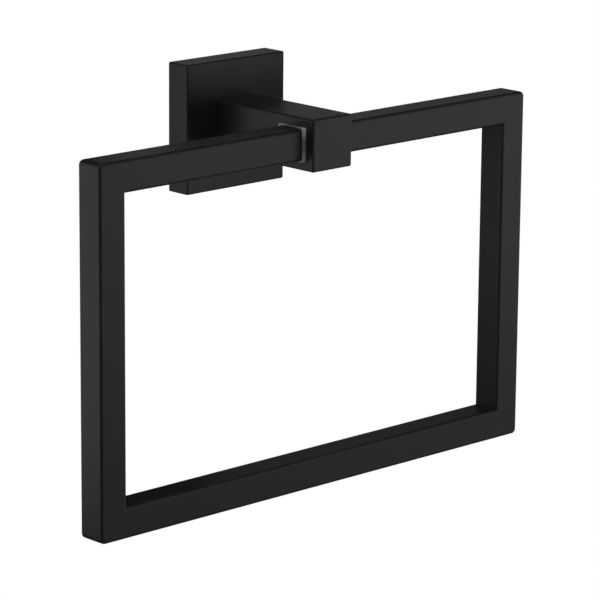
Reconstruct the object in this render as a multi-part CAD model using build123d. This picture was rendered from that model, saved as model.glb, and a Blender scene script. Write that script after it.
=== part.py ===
from build123d import *
import os

# Square towel ring for a wall, in millimetres.
# The origin is the middle of the backplate's back face: +X right, +Y into the wall, +Z up.

# Backplate
plate_width = 50.0
plate_depth = 10.4
plate_rim = 3.0
plate_face_wall = 3.0
plate_edge_radius = 0.7
hollow_corner_radius = 2.0

# Post
post_width = 20.0
post_reach = 63.7
post_wall = 3.5
post_front_wall = 4.0
post_web = 3.0
post_edge_radius = 0.8
core_corner_radius = 1.0

# Ring of square tube
ring_width = 218.0
ring_height = 140.0
ring_corner_radius = 2.0
bar_size = 12.0
bar_wall = 1.2
bar_edge_radius = 1.1

# Liner between the bar and the post
liner_wall = 0.4
liner_lip = 1.8
liner_slit = 5.0
liner_mouth = 0.25
liner_corner_radius = 0.3
liner_bar_clearance = 0.05
liner_post_clearance = 0.05

# Wall bracket and the hook in the backplate that hangs on it
bracket_depth = 5.0
bracket_bevel = 3.0
bracket_side_gap = 4.0
bracket_lift_gap = 4.5
bracket_corner_radius = 1.5
wall_hole_spacing = 20.0
wall_hole_diameter = 4.5
wall_sink_diameter = 9.0
hook_width = 28.0
hook_depth = 3.6
hook_setback = 0.6

# Set screws
screw_diameter = 4.0
screw_recess = 0.2
screw_chamfer = 0.4
thread_clearance = 0.05
socket_across_flats = 2.0
socket_depth = 2.0
cone_tip_diameter = 1.6
cone_length = 1.2
cone_seat_clearance = 0.05
dog_diameter = 2.5
dog_clearance = 0.1
bracket_screw_inset = 3.0

# Sizes that follow
liner_bore = bar_size + 2 * liner_bar_clearance
liner_size = liner_bore + 2 * liner_wall
post_hole = liner_size + 2 * liner_post_clearance
ring_standoff = post_reach - post_front_wall - post_hole / 2
hollow_width = plate_width - 2 * plate_rim
hollow_floor = -(plate_depth - plate_face_wall)
bracket_width = hollow_width - 2 * bracket_side_gap
bracket_front_half = hollow_width / 2 - bracket_lift_gap
bracket_back_half = bracket_front_half - bracket_bevel
bracket_slope = bracket_bevel / bracket_depth


def centred(size):
    return (-size / 2, size / 2)


def block(x_span, y_span, z_span):
    corner = Pos(x_span[0], y_span[0], z_span[0])
    sides = [high - low for low, high in (x_span, y_span, z_span)]
    return corner * Box(*sides, align=(Align.MIN, Align.MIN, Align.MIN))


def upright_cylinder(diameter, y, z_span):
    low, high = z_span
    return Pos(0, y, low) * Cylinder(diameter / 2, high - low, align=(Align.CENTER, Align.CENTER, Align.MIN))


def prism_along_x(points, width):
    profile = make_face(Polyline(*points, close=True))
    return extrude(Plane.YZ * profile, width / 2, both=True)


def bracket_edge(depth):
    # Half the bracket's height at this depth in front of the wall
    return bracket_back_half + bracket_slope * depth


def make_hook():
    # Ledge under the backplate's top wall, lying on the bracket's upper bevel
    back = hook_setback
    front = hook_setback + hook_depth
    ceiling = hollow_width / 2 + plate_rim / 2
    points = [
        (-back, ceiling),
        (-front, ceiling),
        (-front, bracket_edge(front)),
        (-back, bracket_edge(back)),
    ]
    return prism_along_x(points, hook_width)


def make_casting():
    plate = block(centred(plate_width), (-plate_depth, 0), centred(plate_width))
    plate_edges = plate.edges().filter_by(Axis.Y) + plate.faces().sort_by(Axis.Y)[0].edges()
    plate = fillet(plate_edges, plate_edge_radius)

    post = block(centred(post_width), (-post_reach, hollow_floor), centred(post_width))
    post_edges = post.edges().filter_by(Axis.Y) + post.faces().sort_by(Axis.Y)[0].edges()
    post = fillet(post_edges, post_edge_radius)
    casting = plate + post

    hollow = block(centred(hollow_width), (hollow_floor, plate_depth), centred(hollow_width))
    casting -= fillet(hollow.edges().filter_by(Axis.Y), hollow_corner_radius)

    core_width = post_width - 2 * post_wall
    core_end = -(ring_standoff - post_hole / 2 - post_web)
    core = block(centred(core_width), (core_end, 0), centred(core_width))
    core_edges = core.edges().filter_by(Axis.Y) + core.faces().sort_by(Axis.Y)[0].edges()
    casting -= fillet(core_edges, core_corner_radius)

    hole_y = [y - ring_standoff for y in centred(post_hole)]
    casting -= block(centred(2 * post_width), hole_y, centred(post_hole))
    casting += make_hook()

    tapped = screw_diameter + 2 * thread_clearance
    casting -= upright_cylinder(tapped, -bracket_screw_inset, (-plate_width, -hollow_width / 2 + plate_rim))
    casting -= upright_cylinder(tapped, -ring_standoff, (-post_width, 0))
    return casting


def make_frame(outset, corner_radius):
    # Rectangular frame whose bar is larger than the tube by this much on every side
    bar = bar_size + 2 * outset
    top = bar / 2
    bottom = bar_size / 2 - ring_height - outset
    bar_y = [y - ring_standoff for y in centred(bar)]
    frame = block(centred(ring_width + 2 * outset), bar_y, (bottom, top))
    if corner_radius:
        frame = fillet(frame.edges().filter_by(Axis.Y), corner_radius)
    window = centred(ring_width + 2 * outset - 2 * bar)
    return frame - block(window, (-2 * ring_standoff, 0), (bottom + bar, top - bar))


def make_ring():
    ring = make_frame(0, ring_corner_radius)
    faces = ring.faces().filter_by(Axis.Y)
    ring = fillet(faces.edges(), bar_edge_radius)
    ring -= make_frame(-bar_wall, 0)
    seat = dog_diameter + 2 * dog_clearance
    return ring - upright_cylinder(seat, -ring_standoff, (-bar_size, 0))


def make_liner():
    length = post_width + 2 * liner_lip
    bar_y = -ring_standoff
    sleeve = Pos(0, bar_y, 0) * Box(length, liner_size, liner_size)
    sleeve = fillet(sleeve.edges().filter_by(Axis.X), liner_corner_radius)
    bore = Pos(0, bar_y, 0) * Box(length, liner_bore, liner_bore)
    sleeve -= fillet(bore.edges().filter_by(Axis.X), bar_edge_radius + liner_bar_clearance)
    mouths = [face.inner_wires()[0].edges() for face in sleeve.faces().filter_by(Axis.X)]
    sleeve = chamfer(mouths[0] + mouths[1], liner_mouth)
    slit_y = [y + bar_y for y in centred(liner_slit)]
    return sleeve - block(centred(2 * length), slit_y, (-liner_size, 0))


def make_bracket():
    points = [
        (0, bracket_back_half),
        (-bracket_depth, bracket_front_half),
        (-bracket_depth, -bracket_front_half),
        (0, -bracket_back_half),
    ]
    bracket = prism_along_x(points, bracket_width)
    sides = bracket.faces().filter_by(Axis.X)
    slanted = [edge for face in sides for edge in face.edges() if edge.length < 2 * bracket_depth]
    bracket = fillet(slanted, bracket_corner_radius)
    sink_depth = (wall_sink_diameter - wall_hole_diameter) / 2
    for height in centred(wall_hole_spacing):
        plane = Plane((0, -bracket_depth, height), z_dir=(0, 1, 0))
        drill = Cylinder(wall_hole_diameter / 2, 3 * bracket_depth)
        sink = Cone(
            wall_sink_diameter / 2, wall_hole_diameter / 2, sink_depth,
            align=(Align.CENTER, Align.CENTER, Align.MIN),
        )
        bracket -= plane * drill
        bracket -= plane * sink
    return bracket


def make_screw(y, low, shoulder):
    # Headless screw standing upright, its hex socket at the lower end
    body = upright_cylinder(screw_diameter, y, (low, shoulder))
    body = chamfer(body.edges().sort_by(Axis.Z)[0], screw_chamfer)
    hexagon = RegularPolygon(socket_across_flats / 2, 6, major_radius=False)
    return body - Pos(0, y, low) * extrude(hexagon, socket_depth)


def make_bracket_screw():
    y = -bracket_screw_inset
    low = -plate_width / 2 + screw_recess
    tip = -bracket_edge(bracket_screw_inset + cone_tip_diameter / 2) - cone_seat_clearance
    shoulder = tip - cone_length
    cone = Cone(
        screw_diameter / 2, cone_tip_diameter / 2, cone_length,
        align=(Align.CENTER, Align.CENTER, Align.MIN),
    )
    return make_screw(y, low, shoulder) + Pos(0, y, shoulder) * cone


def make_ring_screw():
    low = -post_width / 2 + screw_recess
    shoulder = -bar_size / 2
    dog = upright_cylinder(dog_diameter, -ring_standoff, (shoulder, shoulder + bar_wall))
    return make_screw(-ring_standoff, low, shoulder) + dog


pieces = {
    "post_casting": make_casting(),
    "ring": make_ring(),
    "ring_liner": make_liner(),
    "wall_bracket": make_bracket(),
    "bracket_screw": make_bracket_screw(),
    "ring_screw": make_ring_screw(),
}

os.makedirs("parts", exist_ok=True)
for node, shape in pieces.items():
    export_step(shape, f"parts/{node}.step")
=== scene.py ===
import math

import bmesh
import bpy
from mathutils import Matrix, Vector


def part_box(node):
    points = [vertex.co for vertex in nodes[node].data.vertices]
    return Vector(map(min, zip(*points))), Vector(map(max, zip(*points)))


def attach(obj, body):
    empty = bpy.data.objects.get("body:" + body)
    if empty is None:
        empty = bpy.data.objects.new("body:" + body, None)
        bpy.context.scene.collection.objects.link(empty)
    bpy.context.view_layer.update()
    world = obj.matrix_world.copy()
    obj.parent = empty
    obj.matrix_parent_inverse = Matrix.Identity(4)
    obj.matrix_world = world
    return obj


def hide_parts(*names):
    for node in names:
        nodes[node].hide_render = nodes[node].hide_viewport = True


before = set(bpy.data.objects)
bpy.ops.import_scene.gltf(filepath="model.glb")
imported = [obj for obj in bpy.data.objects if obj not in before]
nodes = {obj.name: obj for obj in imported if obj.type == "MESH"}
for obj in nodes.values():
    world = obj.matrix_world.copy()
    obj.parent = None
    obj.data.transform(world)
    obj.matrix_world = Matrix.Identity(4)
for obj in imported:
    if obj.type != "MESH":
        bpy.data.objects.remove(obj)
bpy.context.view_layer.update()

print("frame loaded:", ", ".join(sorted(nodes)))


def addNode(tree, kind, **inputs):
    node = tree.nodes.new(kind)
    for name, value in inputs.items():
        if hasattr(node, name):
            setattr(node, name, value)
        else:
            node.inputs[name.replace("_", " ")].default_value = value
    return node


def startMaterial(name, sockets):
    mat = bpy.data.materials.new(name)
    mat.use_nodes = True
    tree = mat.node_tree
    shader = tree.nodes["Principled BSDF"]
    for socket, value in sockets.items():
        shader.inputs[socket].default_value = value
    coords = tree.nodes.new("ShaderNodeTexCoord")
    return mat, tree, shader, coords.outputs["Object"]


def noiseFrom(tree, place, scale, detail=2.0, rough=0.5):
    noise = addNode(tree, "ShaderNodeTexNoise", Scale=scale, Detail=detail, Roughness=rough)
    tree.links.new(place, noise.inputs["Vector"])
    return noise.outputs["Fac"]


def blendColours(tree, factor, first, second, low=0.3, high=0.7):
    ramp = tree.nodes.new("ShaderNodeValToRGB")
    ramp.color_ramp.elements[0].position = low
    ramp.color_ramp.elements[1].position = high
    ramp.color_ramp.elements[0].color = (*first, 1)
    ramp.color_ramp.elements[1].color = (*second, 1)
    tree.links.new(factor, ramp.inputs["Fac"])
    return ramp.outputs["Color"]


def spread(tree, factor, low, high):
    span = addNode(tree, "ShaderNodeMapRange", To_Min=low, To_Max=high)
    tree.links.new(factor, span.inputs["Value"])
    return span.outputs["Result"]


def joinLevels(tree, operation, first, second):
    node = addNode(tree, "ShaderNodeMath", operation=operation)
    tree.links.new(first, node.inputs[0])
    tree.links.new(second, node.inputs[1])
    return node.outputs[0]


def rampAlong(tree, place, towards, start, end):
    # level changing along one way, from one (distance, level) pair to the other
    along = addNode(tree, "ShaderNodeVectorMath", operation="DOT_PRODUCT")
    along.inputs[1].default_value = towards
    tree.links.new(place, along.inputs[0])
    (near, first), (far, last) = start, end
    ramp = addNode(tree, "ShaderNodeMapRange", From_Min=near, From_Max=far, To_Min=first, To_Max=last)
    tree.links.new(along.outputs["Value"], ramp.inputs["Value"])
    return ramp.outputs["Result"]


def bumpFrom(tree, shader, grain, strength, height):
    bump = addNode(tree, "ShaderNodeBump", Strength=strength, Distance=height)
    tree.links.new(grain, bump.inputs["Height"])
    tree.links.new(bump.outputs["Normal"], shader.inputs["Normal"])


# matte black coat over the casting and the ring
blackCoat = {
    "dark": (0.0030, 0.0030, 0.0032),
    "light": (0.0044, 0.0044, 0.0046),
    "cloudScale": 60,        # slow drift of tone, about 16 mm
    "peelScale": 2600,       # orange peel, about 0.4 mm
    "peelHeight": 0.000006,  # metres
    "peelStrength": 0.6,
    "roughness": (0.35, 0.42),
    "gloss": 0.5,
}


def makeBlackCoat(spec):
    mat, tree, shader, place = startMaterial("blackCoat", {"Specular IOR Level": spec["gloss"]})
    clouds = noiseFrom(tree, place, spec["cloudScale"], detail=3)
    tree.links.new(blendColours(tree, clouds, spec["dark"], spec["light"]), shader.inputs["Base Color"])
    peel = noiseFrom(tree, place, spec["peelScale"], detail=1.5)
    tree.links.new(spread(tree, peel, *spec["roughness"]), shader.inputs["Roughness"])
    bumpFrom(tree, shader, peel, spec["peelStrength"], spec["peelHeight"])
    return mat


# grey moulded liner, with a painted highlight that makes it paler towards the corners of the sleeve
greyNylon = {
    "node": "ring_liner",
    "dark": (0.038, 0.038, 0.038),
    "light": (0.054, 0.054, 0.053),
    # painted highlight: how much paler the corners get, where the paling starts, and its share at the lower
    # corners
    "highlightTone": 3.6,         # times the plain tone
    "highlightFrom": 0.2,         # part of the way from the middle of a side to its corner
    "highlightBelow": 0.35,       # share at the lower corners, beside the slit
    "flowScale": 350,
    "grainScale": 4000,
    "grainHeight": 0.00001,
    "grainStrength": 0.5,
    "roughness": (0.25, 0.36),
    "gloss": 0.4,
}


def paintedHighlightCorners(tree, place, spec):
    # painted highlight mask: 1 at the sleeve's upper corners, less at the lower ones, 0 in the middle of its
    # sides
    low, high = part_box(spec["node"])
    half = (high.z - low.z) / 2
    offset = addNode(tree, "ShaderNodeVectorMath", operation="SUBTRACT")
    offset.inputs[1].default_value = (low + high) / 2
    tree.links.new(place, offset.inputs[0])
    apart = addNode(tree, "ShaderNodeVectorMath", operation="ABSOLUTE")
    tree.links.new(offset.outputs["Vector"], apart.inputs[0])
    sides = tree.nodes.new("ShaderNodeSeparateXYZ")
    tree.links.new(apart.outputs["Vector"], sides.inputs[0])
    nearest = joinLevels(tree, "MINIMUM", sides.outputs["Y"], sides.outputs["Z"])
    highlight = addNode(tree, "ShaderNodeMapRange", interpolation_type="SMOOTHSTEP",
                   From_Min=spec["highlightFrom"] * half, From_Max=half)
    tree.links.new(nearest, highlight.inputs["Value"])
    share = rampAlong(tree, offset.outputs["Vector"], (0, 0, 1), (-half, spec["highlightBelow"]), (half, 1))
    return joinLevels(tree, "MULTIPLY", highlight.outputs["Result"], share)


def makeGreyNylon(spec):
    mat, tree, shader, place = startMaterial("greyNylon", {"Specular IOR Level": spec["gloss"]})
    flow = noiseFrom(tree, place, spec["flowScale"], detail=3)
    paler = addNode(tree, "ShaderNodeVectorMath", operation="SCALE")
    tree.links.new(blendColours(tree, flow, spec["dark"], spec["light"]), paler.inputs["Vector"])
    # painted highlight: the base colour is scaled up towards the sleeve's corners
    tree.links.new(spread(tree, paintedHighlightCorners(tree, place, spec), 1, spec["highlightTone"]), paler.inputs["Scale"])
    tree.links.new(paler.outputs["Vector"], shader.inputs["Base Color"])
    grain = noiseFrom(tree, place, spec["grainScale"], detail=2)
    tree.links.new(spread(tree, grain, *spec["roughness"]), shader.inputs["Roughness"])
    bumpFrom(tree, shader, grain, spec["grainStrength"], spec["grainHeight"])
    return mat


# tumbled zinc of the wall bracket
bareZinc = {
    "dark": (0.36, 0.37, 0.38),
    "light": (0.56, 0.57, 0.58),
    "mottle": (0.16, 0.36),  # where the noise turns from dark to light
    "castScale": 120,
    "tumbleScale": 900,
    "tumbleHeight": 0.00004,
    "tumbleStrength": 0.5,
    "roughness": (0.34, 0.55),
}


def makeBareZinc(spec):
    mat, tree, shader, place = startMaterial("bareZinc", {"Metallic": 1.0})
    cast = noiseFrom(tree, place, spec["castScale"], detail=4)
    tumble = noiseFrom(tree, place, spec["tumbleScale"], detail=4, rough=0.65)
    both = joinLevels(tree, "MULTIPLY", cast, tumble)
    tone = blendColours(tree, both, spec["dark"], spec["light"], *spec["mottle"])
    tree.links.new(tone, shader.inputs["Base Color"])
    tree.links.new(spread(tree, tumble, *spec["roughness"]), shader.inputs["Roughness"])
    bumpFrom(tree, shader, tumble, spec["tumbleStrength"], spec["tumbleHeight"])
    return mat


# plain stainless set screws
screwSteel = {
    "dark": (0.34, 0.34, 0.35),
    "light": (0.46, 0.46, 0.47),
    "toolScale": 2200,
    "toolHeight": 0.000008,
    "toolStrength": 0.4,
    "roughness": (0.26, 0.4),
}


def makeScrewSteel(spec):
    mat, tree, shader, place = startMaterial("screwSteel", {"Metallic": 1.0})
    tool = noiseFrom(tree, place, spec["toolScale"], detail=3)
    tree.links.new(blendColours(tree, tool, spec["dark"], spec["light"]), shader.inputs["Base Color"])
    tree.links.new(spread(tree, tool, *spec["roughness"]), shader.inputs["Roughness"])
    bumpFrom(tree, shader, tool, spec["toolStrength"], spec["toolHeight"])
    return mat


def dress(node, mat):
    mesh = nodes[node].data
    mesh.materials.clear()
    mesh.materials.append(mat)


coat = makeBlackCoat(blackCoat)
dress("post_casting", coat)
dress("ring", coat)
dress(greyNylon["node"], makeGreyNylon(greyNylon))
dress("wall_bracket", makeBareZinc(bareZinc))
print("coat, nylon and zinc on")


# M4 thread and hex socket that both set screws share, in millimetres
setScrew = {
    "crest": 2.0,
    "root": 1.6,
    "pitch": 0.7,
    "rootFlat": 0.25,   # parts of the pitch
    "flank": 0.3125,
    "around": 48,
    "endRadius": 1.55,
    "socketFlats": 2.0,
    "socketDepth": 2.0,
    "drillPoint": 0.4,
    "sharpAngle": 30,   # degrees
    "weld": 1e-6,       # metres
}
# cone point that presses on the bracket's bevel: radius and height above the shoulder
bracketScrew = {
    "node": "bracket_screw",
    "shoulderRadius": 0.8,
    "taper": 1.2,
    "point": ((0.8, 0),),
}
# dog point that enters the hole in the bar
ringScrew = {
    "node": "ring_screw",
    "shoulderRadius": 1.55,
    "taper": 0.45,
    "point": ((1.25, 0), (1.25, 1.0), (1.05, 1.2)),
}


def pointAt(axis, radius, part, height):
    angle = 2 * math.pi * part
    return Vector((axis.x + radius * math.cos(angle), axis.y + radius * math.sin(angle), height)) / 1000


def addRing(form, axis, radii, height):
    count = len(radii)
    return [form.verts.new(pointAt(axis, radius, i / count, height)) for i, radius in enumerate(radii)]


def skinRings(form, rings):
    for first, second in zip(rings, rings[1:]):
        for i in range(len(first)):
            form.faces.new((first[i - 1], first[i], second[i], second[i - 1]))


def capRing(form, axis, ring, height):
    middle = form.verts.new(pointAt(axis, 0, 0, height))
    for i in range(len(ring)):
        form.faces.new((ring[i - 1], ring[i], middle))


def windThread(form, axis, bottom, shoulder, limit, spec):
    # one strip wound up the shank and cut level at both ends
    count, pitch, flat, flank = (spec[k] for k in ("around", "pitch", "rootFlat", "flank"))
    corners = (0, flat, flat + flank, 1 - flank, 1)
    rows = [low + (high - low) * half for low, high in zip(corners, corners[1:]) for half in (0, 0.5)]
    strip = []
    for turn in range(-1, math.ceil((shoulder - bottom) / pitch) + 2):
        for part in rows:
            climb = min(1, max(0, min(part - flat, 1 - part) / flank))
            thread = spec["root"] + (spec["crest"] - spec["root"]) * climb
            row = []
            for i in range(count):
                height = bottom + (turn + part + i / count) * pitch
                height = min(shoulder, max(bottom, height))
                row.append(form.verts.new(pointAt(axis, min(thread, limit(height)), i / count, height)))
            strip.append(row)
    step = len(rows)
    for k in range(len(strip) - 1):
        low, high = strip[k], strip[k + 1]
        for i in range(count - 1):
            form.faces.new((low[i], low[i + 1], high[i + 1], high[i]))
        if k + 1 + step < len(strip):
            form.faces.new((low[-1], strip[k + step][0], strip[k + step + 1][0], high[-1]))


def cutScrew(kind, spec, mat):
    low, high = (1000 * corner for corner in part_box(kind["node"]))
    axis = (low + high) / 2
    bottom, shoulder = low.z, high.z - kind["point"][-1][1]
    count = spec["around"]
    slope = (spec["crest"] - kind["shoulderRadius"]) / kind["taper"]

    def limit(height):
        return min(spec["endRadius"] + height - bottom, kind["shoulderRadius"] + slope * (shoulder - height))

    form = bmesh.new()
    windThread(form, axis, bottom, shoulder, limit, spec)

    sixth = math.pi / 3
    turns = [2 * math.pi * i / count for i in range(count)]
    hexagon = [spec["socketFlats"] / 2 / math.cos(turn % sixth - sixth / 2) for turn in turns]
    floor = bottom + spec["socketDepth"]
    socket = [addRing(form, axis, [spec["endRadius"]] * count, bottom)]
    socket += [addRing(form, axis, hexagon, height) for height in (bottom, floor)]
    skinRings(form, socket)
    capRing(form, axis, socket[-1], floor + spec["drillPoint"])

    point = [addRing(form, axis, [kind["shoulderRadius"]] * count, shoulder)]
    point += [addRing(form, axis, [radius] * count, shoulder + rise) for radius, rise in kind["point"]]
    skinRings(form, point)
    capRing(form, axis, point[-1], high.z)

    bmesh.ops.remove_doubles(form, verts=form.verts, dist=spec["weld"])
    bmesh.ops.dissolve_degenerate(form, edges=form.edges, dist=spec["weld"] / 10)
    bmesh.ops.recalc_face_normals(form, faces=form.faces)
    mesh = bpy.data.meshes.new(kind["node"] + "Thread")
    form.to_mesh(mesh)
    openEdges = sum(len(edge.link_faces) != 2 for edge in form.edges)
    form.free()
    mesh.polygons.foreach_set("use_smooth", [True] * len(mesh.polygons))
    mesh.set_sharp_from_angle(angle=math.radians(spec["sharpAngle"]))
    mesh.materials.append(mat)
    screw = bpy.data.objects.new(kind["node"] + "Thread", mesh)
    bpy.context.scene.collection.objects.link(screw)
    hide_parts(kind["node"])
    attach(screw, "root")
    print("thread cut on", kind["node"], "with", len(mesh.polygons), "faces and", openEdges, "open edges")


steel = makeScrewSteel(screwSteel)
cutScrew(bracketScrew, setScrew, steel)
cutScrew(ringScrew, setScrew, steel)


# white studio floor, well below a wall fitting; in reflections it glows with painted light, brightest on its
# right
studioFloor = {
    "height": -1.6,
    "reach": 60.0,
    "tone": (0.86, 0.86, 0.86),
    "fibreScale": 40,
    "fibreTone": 0.98,
    "roughness": 0.9,
    "glowTowards": (1, 0, 0),
    "glowFrom": (0.9, 0.04),  # metres along that way, brightness there
    "glowTo": (4.4, 0.52),
}


def whiteForCamera(tree, glow):
    # white where the camera looks, the given glow level in reflections; second output: rays that see it
    seen = tree.nodes.new("ShaderNodeLightPath").outputs
    mirrored = joinLevels(tree, "MAXIMUM", seen["Is Glossy Ray"], seen["Is Transmission Ray"])
    level = joinLevels(tree, "MAXIMUM", glow, seen["Is Camera Ray"])
    return level, joinLevels(tree, "MAXIMUM", mirrored, seen["Is Camera Ray"])


def mixByRay(tree, rays, plain, seen, output):
    mix = tree.nodes.new("ShaderNodeMixShader")
    tree.links.new(rays, mix.inputs[0])
    tree.links.new(plain.outputs[0], mix.inputs[1])
    tree.links.new(seen.outputs[0], mix.inputs[2])
    tree.links.new(mix.outputs[0], output.inputs["Surface"])


def makeFloor(spec):
    half = spec["reach"] / 2
    mesh = bpy.data.meshes.new("studioFloor")
    corners = [(x * half, y * half, spec["height"]) for x, y in ((-1, -1), (1, -1), (1, 1), (-1, 1))]
    mesh.from_pydata(corners, [], [(0, 1, 2, 3)])
    floor = bpy.data.objects.new("studioFloor", mesh)
    bpy.context.scene.collection.objects.link(floor)

    mat, tree, shader, place = startMaterial("floorPaper", {"Roughness": spec["roughness"]})
    fibre = noiseFrom(tree, place, spec["fibreScale"], detail=4)
    darker = [spec["fibreTone"] * level for level in spec["tone"]]
    tree.links.new(blendColours(tree, fibre, spec["tone"], darker), shader.inputs["Base Color"])
    # painted light: in reflections the floor glows with this ramp, dim at first and brighter along the given
    # way
    glow = rampAlong(tree, place, spec["glowTowards"], spec["glowFrom"], spec["glowTo"])
    level, rays = whiteForCamera(tree, glow)
    white = addNode(tree, "ShaderNodeEmission", Color=(1, 1, 1, 1))
    tree.links.new(level, white.inputs["Strength"])
    mixByRay(tree, rays, shader, white, tree.nodes["Material Output"])
    mesh.materials.append(mat)


makeFloor(studioFloor)

# soft boxes in metres: middle, aim, width and height, brightness, whether the coat mirrors it
# the two strips stand close behind the ring and light the upper faces of its bars
softBoxes = {
    "overhead": ((-0.3, -0.2, 0.8), (0, -0.04, -0.05), (0.8, 0.8), 2.7, False),
    "camera side": ((-0.7, -1.0, 0.5), (0, -0.04, -0.05), (0.8, 0.8), 7.5, False),
    "wall side": ((0.8, 1.0, 0.05), (0, -0.04, -0.05), (0.8, 0.8), 7.0, False),
    "left": ((-0.262, 0.092, -0.045), (-0.124, -0.053, -0.045), (0.28, 0.3), 0.61, True),
    "front": ((0.33, -0.42, 0.12), (-0.015, -0.06, 0.12), (0.5, 0.6), 0.35, True),
    "upper strip": ((0.147, 0.088, 0.06), (0.147, -0.053, 0.025), (0.266, 0.068), 0.21, True),
    "lower strip": ((0.116, 0.038, -0.085), (0.116, -0.053, -0.12), (0.168, 0.05), 0.1, True),
    "above": ((0, 0.03, 0.9), (0, -0.05, -0.05), (0.6, 0.6), 0.9, True),
    "high left": ((-0.875, 0.2, 0.81), (0, -0.05, -0.05), (0.7, 0.7), 0.4, True),
    "high front": ((-0.3, -0.85, 0.85), (0, -0.05, -0.05), (0.7, 0.7), 0.4, True),
    "below": ((0, 0.15, -0.95), (0, -0.05, -0.05), (0.5, 0.9), 0.9, True),
    "low front": ((0, -1.25, -0.28), (0, -0.05, -0.06), (0.6, 0.5), 0.4, True),
    "low back": ((0, 1.25, -0.25), (0, -0.05, -0.05), (0.6, 0.5), 0.5, True),
    "low left": ((-1.2, -0.05, -0.28), (0, -0.05, -0.06), (0.5, 0.5), 0.4, True),
}


def addSoftBox(name, middle, aim, span, brightness, mirrored):
    lamp = bpy.data.lights.new(name, "AREA")
    lamp.shape = "RECTANGLE"
    lamp.size, lamp.size_y = span
    lamp.energy = brightness * math.pi * span[0] * span[1]
    box = bpy.data.objects.new(name, lamp)
    box.location = middle
    box.rotation_euler = (Vector(aim) - Vector(middle)).to_track_quat("-Z", "Y").to_euler()
    box.visible_camera = False
    box.visible_glossy = mirrored
    bpy.context.scene.collection.objects.link(box)


for name, settings in softBoxes.items():
    addSoftBox(name, *settings)

# dim room with white walls: brightest on the right, as the floor is, and darkest behind on the right
roomLight = {
    "tone": (0.03, 0.03, 0.03),
    "glowTowards": (1, 0, 0),
    "glowFrom": (0.86, 0.03),  # part of the way round to the right, brightness there
    "glowTo": (1.0, 0.45),
    "dimTowards": (0.65, 0.68, 0.34),
    "dimFrom": (0.8, 1.0),  # part of the way round to there, part of the brightness kept
    "dimTo": (0.92, 0.12),
}


def makeRoom(spec):
    world = bpy.data.worlds.new("room")
    world.use_nodes = True
    tree = world.node_tree
    even = tree.nodes["Background"]
    even.inputs["Color"].default_value = (*spec["tone"], 1)
    way = tree.nodes.new("ShaderNodeTexCoord").outputs["Generated"]
    glow = rampAlong(tree, way, spec["glowTowards"], spec["glowFrom"], spec["glowTo"])
    kept = rampAlong(tree, way, spec["dimTowards"], spec["dimFrom"], spec["dimTo"])
    level, rays = whiteForCamera(tree, joinLevels(tree, "MULTIPLY", glow, kept))
    walls = addNode(tree, "ShaderNodeBackground", Color=(1, 1, 1, 1))
    tree.links.new(level, walls.inputs["Strength"])
    mixByRay(tree, rays, even, walls, tree.nodes["World Output"])
    bpy.context.scene.world = world


makeRoom(roomLight)
print("floor, soft boxes and room light set")


# camera: metres and degrees, for a picture 600 pixels across
shot = {
    "place": (-0.842526, -0.935531, 0.241487),
    "azimuth": -43.469,
    "elevation": 13.9659,
    "roll": 0.4932,
    "focalPixels": 3327.55,
    "picturePixels": 600,
    "sensor": 36.0,
    "farthest": 100,
}


def makeCamera(spec):
    around, above, roll = (math.radians(spec[k]) for k in ("azimuth", "elevation", "roll"))
    back = Vector((math.sin(around) * math.cos(above), -math.cos(around) * math.cos(above), math.sin(above)))
    right = (-back).cross(Vector((0, 0, 1))).normalized()
    up = right.cross(-back)
    tiltedRight = right * math.cos(roll) + up * math.sin(roll)
    tiltedUp = up * math.cos(roll) - right * math.sin(roll)
    lens = bpy.data.cameras.new("shot")
    lens.sensor_fit = "HORIZONTAL"
    lens.sensor_width = spec["sensor"]
    lens.lens = spec["focalPixels"] / spec["picturePixels"] * spec["sensor"]
    lens.clip_end = spec["farthest"]
    camera = bpy.data.objects.new("shot", lens)
    turn = Matrix((tiltedRight, tiltedUp, back)).transposed().to_4x4()
    camera.matrix_world = Matrix.Translation(spec["place"]) @ turn
    bpy.context.scene.collection.objects.link(camera)
    bpy.context.scene.camera = camera


makeCamera(shot)
bpy.context.scene.view_settings.view_transform = "Standard"
print("camera set")
